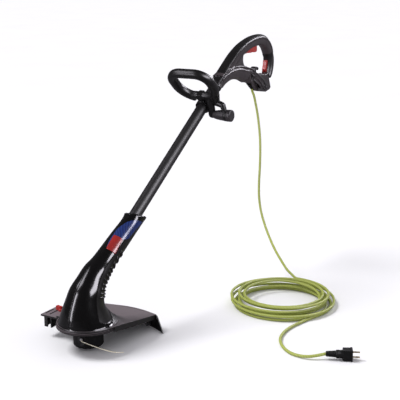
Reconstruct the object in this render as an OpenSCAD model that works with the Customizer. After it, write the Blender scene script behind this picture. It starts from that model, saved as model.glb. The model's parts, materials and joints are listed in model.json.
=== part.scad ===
// Corded string trimmer, standing on its line head with the extension cord plugged in.
// Frame: origin at the centre of the bump knob's flat bottom, +Z up along the spool axis,
// +X towards the operator, and XZ is the plane of symmetry of the shaft. Millimetres.

/* [Stance] */
// Lean of the shaft away from the upright spool axis, in degrees
lean = 55.5; // [54.5:0.5:56.5]
// Height at which the shaft axis crosses the spool axis
axis_z = 143; // [141:1:145]

/* [Shaft] */
// Outside diameter of the shaft tube
tube_d = 32; // [30:0.5:32]
// Wall of the shaft tube
tube_wall = 1.5; // [1:0.25:2.5]
// Where the tube starts inside the motor housing, along the shaft axis
tube_start = 146; // [140:1:156]
// Where the tube ends inside the rear handle
tube_end = 838; // [820:1:850]

/* [Line head] */
// Radius of the spool housing
head_r = 37.5; // [35:0.5:39]
// Height of the bottom edge of the spool housing
head_z = 8; // [7:0.5:10]
// Radius of the bump knob
knob_r = 14; // [12:0.5:16]
// Travel of the bump knob
bump_travel = 5; // [3:0.5:5]
// Diameter of the cutting line
line_d = 2; // [1.6:0.1:2.4]

/* [Motor] */
// Radius of the stator stack
stator_r = 29; // [26:0.5:30]
// Radius of the armature
armature_r = 15.5; // [14:0.5:16]
// Diameter of the motor shaft
shaft_d = 8; // [7:0.5:9]

/* [Guard] */
// Outside radius of the guard about the spool axis
guard_r = 200; // [195:1:205]
// Radius of the collar under the motor housing
collar_r = 78; // [77:0.5:80]
// Half width of the guard plate
guard_half = 81; // [80:0.5:83]
// Wall of the guard moulding
guard_wall = 3; // [2.5:0.25:3.5]

/* [Rear handle] */
// Half thickness of the grip band
grip_half = 17; // [16:0.5:17.5]
// Radius of the long bend of the grip
grip_bend_r = 320; // [315:1:325]
// Radius of the loop at the rear end of the grip
loop_r = 72; // [70:0.5:74]
// Wall of the handle shells
shell_wall = 2.8; // [2.2:0.1:3.2]

/* [Assist handle] */
// Half width of the loop on its centreline
assist_half = 60; // [58:0.5:62]
// Height of the top bar over the pivot bolt
assist_rise = 106; // [103:1:109]
// Radius of the loop's bar
assist_bar_r = 13; // [12:0.25:13.5]
// Tilt of the loop towards the line head, in degrees
assist_tilt = 15; // [12:0.5:18]

/* [Extension cord] */
// Diameter of the cord
cord_d = 7.5; // [7:0.25:8]
// Outer radius of the coil on the floor
coil_out = 160; // [156:1:164]
// Inner radius of the coil on the floor
coil_in = 88; // [84:1:92]
// Height of the coil
coil_h = 38; // [36:1:41]

/* [Hidden] */
$fn = 48;
tube_r = tube_d / 2;
shaft_r = shaft_d / 2;
fit = 0.05;
screw_r = 2;
head_top = 49 + bump_travel;

// Pivot bolt of the assist handle, along the shaft and above it
bolt_s = 690;
bolt_up = 32;
bolt_r = 4;

// Cross grip at the operator's left, relative to the pivot bolt
cross_s = -18;
cross_up = -52;
cross_r = 15.5;

// Edging guide: hinge line parallel to X
guide_hinge = [87, 55];
guide_x = [0, 60];
guide_lever_at = [44, 118];

// Grip: straight part follows the shaft to grip_start, then two arcs in XZ
grip_start = 876;
grip_angle = 90 - lean;
bend_from = [grip_start * sin(lean), axis_z + grip_start * cos(lean)];
bend_c = bend_from + grip_bend_r * [sin(grip_angle), -cos(grip_angle)];
loop_c = bend_c + [0, grip_bend_r - loop_r];
loop_end = -39;

// Where the sleeve of the rear handle starts, along the shaft axis
sleeve_start = 764;

// Lower member of the rear handle: its upper and lower edges in XZ are arcs
lower_top_c = [744, 370];
lower_top_r = 260;
lower_low_c = [730, 457];
lower_low_r = 131;

// Red controls
trigger_pivot = [798, 676];
lock_pivot = loop_c + 66 * [cos(-34), sin(-34)];

// Inlet and cord connector: axis leans out of the lower member
inlet_at = [836, 0, 592.5];
inlet_tilt = 150;
connector_len = 24;
relief_end = 52;

// Extension cord route, round points chosen by hand
cord_exit = inlet_at + relief_end * [sin(inlet_tilt), 0, cos(inlet_tilt)];
drop_route = [
    cord_exit, [868, 0, 536.5], [875, -2, 523], [878, -5, 505], [878, -12, 475],
    [873, -20, 445], [862, -31, 405], [845, -42, 360], [826, -51, 310], [810, -57, 262],
    [800, -63, 220], [790, -75, 180], [772, -97, 145], [748, -126, 113], [720, -160, 84],
    [689, -199, 60], [668, -225, 47], [657, -245, 39], [650, -264, 33]
];
coil_c = [517, -272];
tail_route = [
    [482, -412, 4], [440, -398, 4], [400, -388, 4], [355, -380, 4], [309, -382, 4],
    [270, -394, 4], [236, -417, 4], [212, -446, 4], [203, -474, 5], [205, -500, 7.5],
    [216, -520, 11], [226, -535, 14.5]
];
plug_at = tail_route[len(tail_route) - 1];
plug_turn = 296;

// Cutting line, from the eyelet outwards
eyelet_at = [-36, -8, 33];
line_route = [
    [-34, -8, 33], [-39.5, -8, 33], [-43, -12, 32.5], [-44.5, -22, 31.5], [-44.5, -40, 29.5],
    [-44, -60, 27], [-41, -78, 24], [-36, -94, 21], [-27, -106, 18], [-13, -114, 15]
];

// ---------------------------------------------------------------- helpers

function tube_point(s, up) =
    [s * sin(lean) - up * cos(lean), 0, axis_z + s * cos(lean) + up * sin(lean)];
function arc(c, r, a0, a1, n) =
    [for (i = [0:n]) let (a = a0 + (a1 - a0) * i / n) c + r * [cos(a), sin(a)]];
function reversed(list) = [for (i = [len(list) - 1:-1:0]) list[i]];
function unit(v) = v / norm(v);
function heading(path, i) =
    unit(path[min(i + 1, len(path) - 1)] - path[max(i - 1, 0)]);

// Places children on the shaft axis, with local +Z along the shaft and local -X above it
module on_shaft(s) {
    translate([0, 0, axis_z]) rotate([0, lean, 0]) translate([0, 0, s]) children();
}

// Extrudes an outline drawn in XZ between two values of Y
module slab(y_min, y_max) {
    translate([0, y_max, 0]) rotate([90, 0, 0]) linear_extrude(y_max - y_min) children();
}

// Cylinder along Y at a place in XZ
module cross_pin(at, r, y_min, y_max) {
    translate([at[0], y_max, at[1]]) rotate([90, 0, 0]) cylinder(r = r, h = y_max - y_min);
}

// Keeps one side of the symmetry plane: -1 for the operator's left, 1 for the right
module one_side(side) {
    intersection() {
        children();
        translate([-200, side < 0 ? -200 : 0, -50]) cube([1500, 200, 1200]);
    }
}

// Triangles of a closed skin over rings of points, with flat ends
function ring_faces(rings, sides) = concat(
    [[for (k = [0:sides - 1]) k]],
    [[for (k = [sides - 1:-1:0]) (rings - 1) * sides + k]],
    [for (i = [0:rings - 2], k = [0:sides - 1], half = [0, 1])
        let (near = i * sides, far = near + sides, next = (k + 1) % sides)
        half == 0 ? [near + k, far + k, far + next] : [near + k, far + next, near + next]]
);

// Closed tube swept along a route by rings of points
module swept(path, r, sides) {
    rings = [for (i = [0:len(path) - 1])
        let (t = heading(path, i),
             ref = abs(t[1]) < 0.9 ? [0, 1, 0] : [1, 0, 0],
             u = unit(cross(t, ref)),
             v = cross(t, u))
        for (k = [0:sides - 1])
            path[i] + r * (cos(360 * k / sides) * u + sin(360 * k / sides) * v)];
    polyhedron(points = rings, faces = ring_faces(len(path), sides));
}

// Route resampled by a smooth curve through its points, with steps per span
function smooth(path, steps) = concat(
    [for (i = [0:len(path) - 2], k = [0:steps - 1])
        let (p0 = path[max(i - 1, 0)], p1 = path[i], p2 = path[i + 1],
             p3 = path[min(i + 2, len(path) - 1)], t = k / steps)
        0.5 * (2 * p1 + t * (p2 - p0) + t * t * (2 * p0 - 5 * p1 + 4 * p2 - p3)
               + t * t * t * (3 * p1 - p0 - 3 * p2 + p3))],
    [path[len(path) - 1]]
);

module helical_spring(r, wire_r, turns, height) {
    steps = 12;
    swept([for (i = [0:turns * steps])
        [r * cos(360 * i / steps), r * sin(360 * i / steps),
         wire_r + (height - 2 * wire_r) * i / (turns * steps)]], wire_r, 6);
}

// Ball bearing in section, with its axis on Z
module bearing(inner, outer, width) {
    difference() {
        cylinder(r = outer, h = width);
        translate([0, 0, -1]) cylinder(r = inner, h = width + 2);
        for (z = [-1, width - 1])
            translate([0, 0, z]) difference() {
                cylinder(r = outer - 2, h = 2);
                cylinder(r = inner + 2, h = 2);
            }
    }
}

// ---------------------------------------------------------------- motor housing

// Rings of the housing: centre x, centre z, tilt, half width in XZ, half width in Y
housing_rings = [
    [0, 66, 0, 74, 74], [-6, 74, 0, 68, 68], [-9.5, 84, 0, 63, 63], [-12, 97, 0, 58, 57],
    [-12, 112, 2, 52.5, 51], [-7.5, 128, 8, 47.5, 46.5], [2.5, 145, 20, 44, 43.5],
    [19.5, 164, 36, 37.5, 37], [41.5, 182, 48, 34, 34.5], [66, 196, 55, 30, 30.5],
    [100.5, 217, 57.5, 28, 28.5], [144.5, 243, 57, 27, 27.5], [188, 268, 53, 25.5, 26],
    [215, 287, 22, 28.5, 28.5]
];

// Ring part way between two of the rings
function ring_at(f) =
    let (i = floor(f), t = f - i) (1 - t) * housing_rings[i] + t * housing_rings[i + 1];

module housing_solid(inset, end_inset) {
    sides = 40;
    n = len(housing_rings);
    points = [for (i = [0:n - 1])
        let (g = housing_rings[i],
             push = i == 0 ? -end_inset : (i == n - 1 ? end_inset : 0))
        for (k = [0:sides - 1])
            let (a = 360 * k / sides, across = (g[3] - inset) * cos(a))
            [g[0] + across * cos(g[2]) + push * sin(g[2]),
             (g[4] - inset) * sin(a),
             g[1] - across * sin(g[2]) + push * cos(g[2])]];
    polyhedron(points = points, faces = ring_faces(n, sides));
}

housing_screw_at = [[-46, 88], [-36, 134], [52, 211]];
housing_screw_len = 34;
motor_seat_z = 134;

module housing_half(side) {
    color([0.06, 0.06, 0.07]) one_side(side) difference() {
        union() {
            difference() {
                housing_solid(0, 0);
                housing_solid(shell_wall, 1);
            }
            intersection() {
                housing_solid(shell_wall / 2, 0);
                union() {
                    for (s = [152, 232]) on_shaft(s) cylinder(r = 60, h = 8);
                    for (at = housing_screw_at) cross_pin(at, 6, -80, 80);
                    translate([0, 0, motor_seat_z]) cylinder(r = 60, h = 4);
                }
            }
        }
        translate([0, 0, motor_seat_z - 1]) cylinder(r = 12, h = 6);
        on_shaft(tube_start) cylinder(r = tube_r + fit, h = 150);
        on_shaft(120) cylinder(r = tube_r - 3, h = 150);
        for (at = housing_screw_at) {
            cross_pin(at, screw_r + fit, -80, housing_screw_len / 2 + 1);
            cross_pin(at, 4.2, -80, -housing_screw_len / 2 + 3);
        }
        for (i = [0:10]) let (g = ring_at(5.55 + 0.46 * i)) translate([g[0], 0, g[1]])
            rotate([0, g[2], 0]) rotate([0, 0, side * 74]) translate([g[3] - 6, -6, -1.6])
                cube([14, 12, 3.2]);
    }
}

module housing_left() { housing_half(-1); }
module housing_right() { housing_half(1); }

module housing_screws() {
    color("silver") for (at = housing_screw_at) {
        cross_pin(at, screw_r, -housing_screw_len / 2 + 3, housing_screw_len / 2);
        cross_pin(at, 4, -housing_screw_len / 2, -housing_screw_len / 2 + 3);
    }
}

// ---------------------------------------------------------------- motor

module motor_stator() {
    color([0.45, 0.45, 0.48]) difference() {
        union() {
            translate([0, 0, 84]) cylinder(r = stator_r, h = 34);
            for (a = [0, 90, 180, 270]) rotate([0, 0, a + 45])
                translate([stator_r - 3, -4, 84]) cube([4, 8, 34]);
        }
        translate([0, 0, 80]) cylinder(r = armature_r + 1, h = 50);
        for (a = [0, 180]) rotate([0, 0, a]) translate([0, 0, 80]) intersection() {
            difference() {
                cylinder(r = 24, h = 50);
                cylinder(r = armature_r + 3, h = 50);
            }
            translate([-10, 0, 0]) cube([20, 40, 50]);
        }
    }
}

module motor_windings() {
    color([0.72, 0.4, 0.2]) for (z = [79.5, 118]) translate([0, 0, z]) difference() {
        cylinder(r = 26, h = 4.5);
        translate([0, 0, -1]) cylinder(r = armature_r + 2, h = 7);
    }
}

module motor_armature() {
    color([0.4, 0.4, 0.43]) difference() {
        union() {
            translate([0, 0, 85]) cylinder(r = armature_r, h = 32);
            translate([0, 0, 80]) cylinder(r = 12, h = 5);
            translate([0, 0, 117]) cylinder(r = 12, h = 5);
            translate([0, 0, 122]) cylinder(r = 9, h = 11);
        }
        translate([0, 0, 70]) cylinder(r = shaft_r, h = 80);
        for (a = [0:30:330]) rotate([0, 0, a]) translate([armature_r - 3, -0.8, 84])
            cube([5, 1.6, 34]);
    }
}

module motor_shaft() {
    color("silver") translate([0, 0, 30]) cylinder(r = shaft_r, h = 112);
}

module brush_holders() {
    color([0.6, 0.5, 0.25]) for (side = [-1, 1]) translate([0, side * 9.5, 123.5])
        rotate([side < 0 ? 90 : -90, 0, 0]) translate([-3.5, side < 0 ? 0 : -8, 0])
            cube([7, 8, 17]);
}

module upper_bearing() {
    color("silver") translate([0, 0, 134.5]) bearing(shaft_r + fit, 11.9, 7);
}

module lower_bearing() {
    color("silver") translate([0, 0, 66]) bearing(shaft_r + fit, 11, 7);
}

module bearing_bracket() {
    color([0.3, 0.3, 0.32]) difference() {
        union() {
            translate([0, 0, 64]) cylinder(r = 14, h = 11);
            translate([0, 0, 64]) cylinder(r = 58, h = 2.5);
            for (a = [0:60:300]) rotate([0, 0, a]) translate([12, -1.5, 66]) cube([44, 3, 5]);
        }
        translate([0, 0, 66]) cylinder(r = 11, h = 20);
        translate([0, 0, 60]) cylinder(r = shaft_r + 1.5, h = 20);
    }
}

module cooling_fan() {
    color([0.2, 0.2, 0.22]) difference() {
        union() {
            translate([0, 0, 75.5]) cylinder(r = 8, h = 3.5);
            for (a = [0:45:315]) rotate([0, 0, a]) translate([6, -0.8, 75.5]) cube([20, 1.6, 3.5]);
        }
        translate([0, 0, 70]) cylinder(r = shaft_r, h = 20);
    }
}

// ---------------------------------------------------------------- line head

module drive_hub() {
    color([0.75, 0.7, 0.5]) difference() {
        union() {
            translate([0, 0, 30]) cylinder(r = 7, h = head_top - 30);
            translate([0, 0, head_top - 4]) cylinder(r = 12, h = 4);
        }
        translate([0, 0, 29]) cylinder(r = shaft_r, h = 30);
    }
}

module spool_housing() {
    color([0.07, 0.07, 0.08]) difference() {
        rotate_extrude() polygon(concat(
            [[knob_r + 0.6, head_z]],
            arc([head_r - 6, head_z + 6], 6, -90, 0, 8),
            [[head_r, head_top - 4], [head_r - 3, head_top], [12, head_top],
             [12, head_top - 4], [head_r - 3, head_top - 4],
             [head_r - 3, head_z + 9], [head_r - 7, head_z + 3], [knob_r + 0.6, head_z + 3]]
        ));
        for (a = [0:30:330]) rotate([0, 0, a]) translate([head_r - 1.6, -3.2, 40])
            cube([4, 6.4, 8]);
        translate([0, eyelet_at[1], eyelet_at[2]]) rotate([0, -90, 0])
            cylinder(r = 3, h = 60);
    }
}

module line_eyelet() {
    color("silver") translate([-32, eyelet_at[1], eyelet_at[2]]) rotate([0, -90, 0])
        difference() {
            union() {
                cylinder(r = 3, h = 5.5);
                translate([0, 0, 5.5]) cylinder(r = 4.2, h = 1.2);
            }
            translate([0, 0, -1]) cylinder(r = 1.6, h = 10);
        }
}

module line_tail() {
    color([0.9, 0.87, 0.75]) swept(smooth(line_route, 3), line_d / 2, 8);
}

module spool() {
    color([0.2, 0.2, 0.2]) difference() {
        union() {
            translate([0, 0, 13]) cylinder(r = 29, h = 2);
            translate([0, 0, 13]) cylinder(r = 16, h = 30);
            translate([0, 0, 41]) cylinder(r = 29, h = 2);
        }
        translate([0, 0, 10]) cylinder(r = 13, h = 40);
    }
}

module wound_line() {
    color([0.9, 0.87, 0.75]) difference() {
        translate([0, 0, 15]) cylinder(r = 26, h = 26);
        translate([0, 0, 10]) cylinder(r = 16, h = 40);
    }
}

module bump_knob() {
    color([0.09, 0.09, 0.1]) difference() {
        union() {
            rotate_extrude() polygon(concat(
                [[0, 0]], arc([knob_r - 4, 4], 4, -90, 0, 6), [[knob_r, 13], [0, 13]]
            ));
            translate([0, 0, 12]) cylinder(r = 13, h = 6);
        }
        translate([0, 0, 14]) cylinder(r = 10.5, h = 10);
        for (a = [0:45:315]) rotate([0, 0, a]) translate([knob_r + 0.4, 0, 4.5]) cylinder(r = 1.2, h = 10);
    }
}

module spool_spring() {
    color("silver") translate([0, 0, 14.5]) helical_spring(9, 0.7, 5, head_top - 20);
}

// ---------------------------------------------------------------- guard

// Slope of the guard plate, falling towards the rear
plate_slope = 9.2;
plate_top = 69;

module guard_outline() {
    intersection() {
        translate([0, -guard_half]) square([guard_r + 10, 2 * guard_half]);
        circle(r = guard_r + 4);
    }
}

module sloped_plate(thickness, drop) {
    translate([0, 0, plate_top - drop]) rotate([0, plate_slope, 0])
        translate([0, 0, -thickness]) linear_extrude(thickness) children();
}

module guard() {
    color([0.16, 0.15, 0.15]) difference() {
        union() {
            intersection() {
                union() {
                    sloped_plate(guard_wall, 0) guard_outline();
                    for (side = [-1, 1]) sloped_plate(13, 0)
                        translate([0, side * guard_half - (side > 0 ? guard_wall : 0)])
                            square([guard_r + 10, guard_wall]);
                }
                cylinder(r = guard_r, h = 100);
            }
            intersection() {
                difference() {
                    translate([0, 0, 1]) cylinder(r = guard_r, h = 37);
                    cylinder(r = guard_r - guard_wall, h = 50);
                }
                rotate([90, 0, 90]) linear_extrude(guard_r + 10)
                    polygon([[-115, 0], [-84, 40], [84, 40], [115, 0]]);
            }
            rotate_extrude() polygon([
                [45, 58], [collar_r - 1, 58], [collar_r, 59], [collar_r, 60.5],
                [collar_r - 2.2, 61.3], [collar_r - 2.2, 62.2], [collar_r, 63], [collar_r, 64.2],
                [collar_r - 2.2, 65], [collar_r - 2.2, 66], [collar_r - 1, 66.8],
                [collar_r - 2, 69.5], [74.3, 69.5], [74.3, 61], [45, 61]
            ]);
            for (x = [guide_x[0] - 6, guide_x[1] + 1]) translate([x, 60, 58])
                cube([5, 34, 7]);
            for (x = [guide_x[0] - 6, guide_x[1] + 1]) translate([x, guide_hinge[0], guide_hinge[1]])
                rotate([0, 90, 0]) cylinder(r = 6, h = 5);
        }
        translate([0, 0, 50]) cylinder(r = 45, h = 20);
        translate([0, 0, 61]) cylinder(r = 74.3, h = 40);
        translate([guide_x[0] - 8, guide_hinge[0], guide_hinge[1]]) rotate([0, 90, 0])
            cylinder(r = 2.5, h = 80);
        for (a = [45, 135, 225, 315]) rotate([0, 0, a]) translate([66, 0, 40]) {
            cylinder(r = screw_r + fit, h = 30);
            cylinder(r = 4.3, h = 18);
        }
        rotate([0, 0, -14]) for (y = [-8, 8]) translate([guard_r - 10, y, 16])
            rotate([0, 90, 0]) {
                cylinder(r = screw_r + fit, h = 20);
                cylinder(r = 3.9, h = 3.3);
            }
    }
}

module guard_screws() {
    color("silver") {
        for (a = [45, 135, 225, 315]) rotate([0, 0, a]) translate([66, 0, 55]) {
            cylinder(r = screw_r, h = 9);
            cylinder(r = 4, h = 3);
        }
        rotate([0, 0, -14]) for (y = [-8, 8]) translate([guard_r - 9.5, y, 16])
            rotate([0, 90, 0]) {
                cylinder(r = screw_r, h = 9.5);
                cylinder(r = 3.6, h = 2.5);
            }
    }
}

module line_cutter() {
    color([0.7, 0.7, 0.72]) rotate([0, 0, -14]) difference() {
        union() {
            translate([guard_r - 7, -16, 7]) cube([1.4, 32, 17]);
            translate([guard_r - 21, -16, 7]) cube([15, 1.4, 17]);
        }
        for (y = [-8, 8]) translate([guard_r - 10, y, 16]) rotate([0, 90, 0])
            cylinder(r = screw_r, h = 20);
    }
}

// ---------------------------------------------------------------- edging guide

module edging_guide() {
    color([0.15, 0.15, 0.16]) difference() {
        union() {
            translate([guide_x[0], 92, 52]) cube([60, 58, 4.5]);
            translate([guide_x[0], 136, 26]) cube([40, 3, 27]);
            translate([guide_x[0], 129, 26]) cube([3, 10, 27]);
            translate([37, 116, 26]) cube([3, 23, 27]);
            translate([guide_x[0], 116, 26]) cube([40, 3, 27]);
            translate([guide_x[0], 92, 52]) cube([60, 3, 7]);
            for (x = [2, 36]) translate([x, 85, 52]) cube([20, 12, 4.5]);
            for (x = [2, 36]) translate([x, guide_hinge[0], guide_hinge[1]]) rotate([0, 90, 0])
                cylinder(r = 5.2, h = 20);
        }
        for (y = [128, 142]) translate([12, y, 50]) cube([32, 4, 10]);
        translate([guide_x[0] - 5, guide_hinge[0], guide_hinge[1]]) rotate([0, 90, 0])
            cylinder(r = 2.5 + fit, h = 80);
        translate([guide_lever_at[0], guide_lever_at[1], 40]) cylinder(r = 3 + fit, h = 30);
    }
}

module guide_pin() {
    color("silver") translate([guide_x[0] - 6, guide_hinge[0], guide_hinge[1]])
        rotate([0, 90, 0]) cylinder(r = 2.5, h = 72);
}

module guide_lever() {
    color([0.78, 0.12, 0.1]) translate([guide_lever_at[0], guide_lever_at[1], 0]) {
        translate([0, 0, 50]) cylinder(r = 3, h = 8);
        translate([0, 0, 57]) cylinder(r = 7.5, h = 6);
        rotate([0, 0, 80]) translate([0, -4, 57]) cube([17, 8, 11]);
    }
}

// ---------------------------------------------------------------- shaft

module shaft_tube() {
    color([0.1, 0.1, 0.11]) on_shaft(tube_start) difference() {
        cylinder(r = tube_r, h = tube_end - tube_start);
        translate([0, 0, -1]) cylinder(r = tube_r - tube_wall, h = tube_end - tube_start + 2);
    }
}

module motor_lead() {
    color([0.15, 0.15, 0.15]) swept(smooth([
        [20, 0, 160], [70, 0, 196], tube_point(140, 0), tube_point(220, -6),
        tube_point(400, -6), tube_point(600, -6), tube_point(800, -7), tube_point(846, -8),
        [724, 0, 629], [745, 0, 650]
    ], 3), 3.2, 8);
}

// ---------------------------------------------------------------- assist handle

module tube_clamp() {
    color([0.1, 0.1, 0.11]) on_shaft(bolt_s) difference() {
        union() {
            translate([0, 0, -16]) cylinder(r = 21, h = 32);
            translate([-bolt_up - 10, -8, -12]) cube([30, 16, 24]);
        }
        translate([0, 0, -20]) cylinder(r = tube_r, h = 40);
        translate([10, -0.75, -20]) cube([20, 1.5, 40]);
        translate([-bolt_up, 20, 0]) rotate([90, 0, 0]) cylinder(r = bolt_r, h = 40);
    }
}

// Frame of the assist handle: origin at the bolt, local +Z up the loop, local Y across
module on_loop() {
    on_shaft(bolt_s) translate([-bolt_up, 0, 0]) rotate([0, -90 - assist_tilt, 0]) children();
}

module assist_handle() {
    corner_r = 38;
    side_y = assist_half - corner_r;
    bow_c = [0, assist_half - 10];
    knot = [20 - bolt_up, -45, -3];
    elbow = [24 - bolt_up, -65, -7];
    loop_path = [for (p = concat(
        arc(bow_c, assist_half, -58, 0, 10),
        arc([side_y, assist_rise - corner_r], corner_r, 0, 90, 7),
        arc([-side_y, assist_rise - corner_r], corner_r, 90, 180, 7),
        arc(bow_c, assist_half, 180, 218, 8)
    )) [0, p[0], p[1]]];
    color([0.08, 0.08, 0.09]) difference() {
        union() {
            on_loop() swept(loop_path, assist_bar_r, 16);
            on_shaft(bolt_s) {
                translate([-bolt_up, 0, 0]) rotate([90, 0, 0])
                    translate([0, 0, 8.4]) cylinder(r = 12.4, h = 28);
                translate([-bolt_up, 0, 0]) rotate([-90, 0, 0])
                    translate([0, 0, 8.4]) cylinder(r = 12.4, h = 24);
                translate([0, -32.4, 0]) rotate([-90, 0, 0]) hull() {
                    translate([-bolt_up, 0, 0]) cylinder(r = 12, h = 9, $fn = 32);
                    translate([-cross_up - bolt_up, -cross_s, 0]) cylinder(r = 13, h = 9, $fn = 32);
                }
                translate([-cross_up - bolt_up, -23.4, cross_s]) rotate([90, 0, 0])
                    cylinder(r = 8, h = 60);
                translate([-cross_up - bolt_up, -70, cross_s]) rotate([90, 0, 0])
                    cylinder(r = cross_r + 1, h = 9);
            }
            hull() {
                on_loop() translate([0, -50, 10]) sphere(r = 12, $fn = 24);
                on_shaft(bolt_s) translate(knot) sphere(r = 9.5, $fn = 24);
            }
            on_shaft(bolt_s) {
                hull() {
                    translate([-bolt_up, -25, 0]) sphere(r = 11, $fn = 24);
                    translate(knot) sphere(r = 9, $fn = 24);
                }
                hull() {
                    translate(knot) sphere(r = 9.5, $fn = 24);
                    translate(elbow) sphere(r = 8.5, $fn = 24);
                }
                hull() {
                    translate(elbow) sphere(r = 8.5, $fn = 24);
                    translate([-cross_up - bolt_up - 8, -72, cross_s]) sphere(r = 7, $fn = 24);
                }
            }
        }
        on_shaft(bolt_s) {
            translate([-bolt_up, 40, 0]) rotate([90, 0, 0]) cylinder(r = bolt_r + fit, h = 90);
            translate([-bolt_up, 60, 0]) rotate([90, 0, 0]) cylinder(r = 9.6, h = 39.5);
            translate([-bolt_up, -32.5, 0]) rotate([90, 0, 0]) cylinder(r = 10.3, h = 30);
            translate([-bolt_up, 8.4, 0]) rotate([90, 0, 0]) cylinder(r = 30, h = 16.8);
            translate([-cross_up - bolt_up, -32.4, cross_s]) rotate([90, 0, 0]) difference() {
                cylinder(r = cross_r + 0.1, h = 37.6);
                cylinder(r = 8, h = 40);
            }
        }
    }
}

module clamp_bolt() {
    color("silver") on_shaft(bolt_s) translate([-bolt_up, 0, 0]) rotate([90, 0, 0]) {
        translate([0, 0, -26]) cylinder(r = bolt_r, h = 59);
        difference() {
            translate([0, 0, 32.7]) cylinder(r = 9.5, h = 5);
            translate([-6, -1, 36]) cube([12, 2, 4]);
        }
    }
}

module clamp_nut() {
    color("silver") on_shaft(bolt_s) translate([-bolt_up, 20.7, 0]) rotate([-90, 0, 0])
        difference() {
            cylinder(r = 8, h = 6, $fn = 6);
            translate([0, 0, -1]) cylinder(r = bolt_r, h = 10);
        }
}

module side_grip() {
    color([0.14, 0.14, 0.15]) on_shaft(bolt_s)
        translate([-cross_up - bolt_up, -32.7, cross_s]) rotate([90, 0, 0])
            rotate_extrude() polygon([
                [8, 0], [10, 0], [11.5, 4], [13.5, 14], [14.8, 25], [cross_r, 34],
                [cross_r, 37], [8, 37]
            ]);
}

module grip_cap() {
    color([0.05, 0.05, 0.05]) on_shaft(bolt_s)
        translate([-cross_up - bolt_up, -79.2, cross_s]) rotate([90, 0, 0]) difference() {
            rotate_extrude() polygon(concat(
                [[0, 0], [17, 0]], arc([14, 9.5], 3, 0, 90, 6), [[0, 12.5]]
            ));
            translate([0, 0, -1]) cylinder(r = 8, h = 6);
        }
}

// ---------------------------------------------------------------- rear handle

// Band of even width along an arc
module arc_band(c, r, half, a0, a1) {
    polygon(concat(arc(c, r + half, a0, a1, 24), reversed(arc(c, r - half, a0, a1, 24))));
}

module grip_outline(half) {
    from = [sleeve_start * sin(lean), axis_z + sleeve_start * cos(lean)];
    across = half * [-cos(lean), sin(lean)];
    polygon([from + across, from - across, bend_from - across, bend_from + across]);
    arc_band(bend_c, grip_bend_r, half, 90 + grip_angle, 90);
    arc_band(loop_c, loop_r, half, 90, loop_end);
}

module lower_outline(inset) {
    polygon(concat(
        arc(lower_top_c, lower_top_r - inset, 112, 50, 24),
        reversed(arc(lower_low_c, lower_low_r + inset, 123, 56, 20))
    ));
}

module foot_outline() {
    polygon([
        [812, 596], [828, 572], [834, 559], [851, 542], [931, 529], [960, 534], [968, 541],
        [962, 556], [956, 572], [946, 590], [923, 588], [891, 592], [866, 598], [840, 603]
    ]);
}

module foot_cavity() {
    polygon([
        [876, 590], [905, 585], [930, 575], [950, 566], [960, 541], [957, 537], [931, 532.5],
        [905, 536.5]
    ]);
}

module web_outline() {
    difference() {
        polygon([[668, 596], [722, 632], [770, 656], [806, 672], [812, 618], [770, 620], [700, 600]]);
        translate([803, 645]) circle(r = 25);
    }
}

module handle_half(side) {
    inner = grip_half - shell_wall;
    color([0.08, 0.08, 0.09]) one_side(side) difference() {
        union() {
            slab(-grip_half, grip_half) {
                grip_outline(grip_half);
                difference() {
                    lower_outline(0);
                    polygon([[784, 540], [790, 573], [806, 596], [826, 594], [842, 572], [846, 540]]);
                }
            }
            slab(-grip_half - 2, grip_half + 2) foot_outline();
            slab(-14, 14) web_outline();
            on_shaft(sleeve_start - 2) cylinder(r = tube_r + 3, h = 90);
        }
        slab(-inner, inner) {
            intersection() {
                grip_outline(inner);
                translate([690, 560]) square([400, 200]);
            }
            intersection() {
                lower_outline(shell_wall);
                translate([700, 500]) square([400, 200]);
            }
            foot_cavity();
        }
        slab(-7.5, 7.5) polygon([[794, 660], [888, 640], [888, 692], [796, 684]]);
        slab(-6.5, 6.5) polygon(concat(
            arc(loop_c, 40, 8, -36, 8), reversed(arc(loop_c, 62, 8, -36, 8))
        ));
        slab(-9.2, 9.2) translate([863.8, 577.8]) square([33.4, 30]);
        on_shaft(700) cylinder(r = tube_r, h = tube_end - 700 + 2);
        on_inlet() {
            cylinder(r = 16, h = 60);
            translate([0, 0, -9.1]) cylinder(r = 12, h = 20);
            translate([-27, -inner - 0.4, 18]) cube([70, inner + 25, 70]);
        }
        for (at = handle_screw_at) cross_pin(at, screw_r + 0.1, -30, 30);
    }
}

handle_screw_at = [[703.5, 629], [930, 546]];
handle_screw_half = [13, 18];

module handle_left() { handle_half(-1); }
module handle_right() { handle_half(1); }

module handle_screws() {
    color("silver") for (i = [0, 1])
        cross_pin(handle_screw_at[i], screw_r, -handle_screw_half[i], handle_screw_half[i]);
}

module trigger() {
    color([0.8, 0.14, 0.12]) difference() {
        slab(-7, 7) difference() {
            polygon([
                [788, 668], [798, 662], [806, 659.5], [877, 659.5], [882, 664], [881, 678],
                [876, 684], [838, 683], [800, 683], [788, 676]
            ]);
            for (x = [821, 853]) translate([x, 657]) circle(r = 8);
        }
        cross_pin(trigger_pivot, 2 + fit, -20, 20);
    }
}

module trigger_pin() {
    color("silver") cross_pin(trigger_pivot, 2, -grip_half + shell_wall, grip_half - shell_wall);
}

module trigger_spring() {
    color("silver") translate([862, 0, 684.2]) helical_spring(3.4, 0.5, 5, 20.5);
}

module power_switch() {
    color([0.25, 0.25, 0.26]) slab(-8, 8) translate([760, 660]) rotate(25)
        square([24, 15], center = true);
}

module lock_lever() {
    color([0.8, 0.14, 0.12]) difference() {
        slab(-6, 6) polygon(concat(
            arc(loop_c, 46, 4, -30, 8), [loop_c + 52 * [cos(-35), sin(-35)]],
            [loop_c + 69.5 * [cos(-36), sin(-36)]], reversed(arc(loop_c, 61, 4, -28, 8))
        ));
        cross_pin(lock_pivot, 2 + fit, -20, 20);
    }
}

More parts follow.
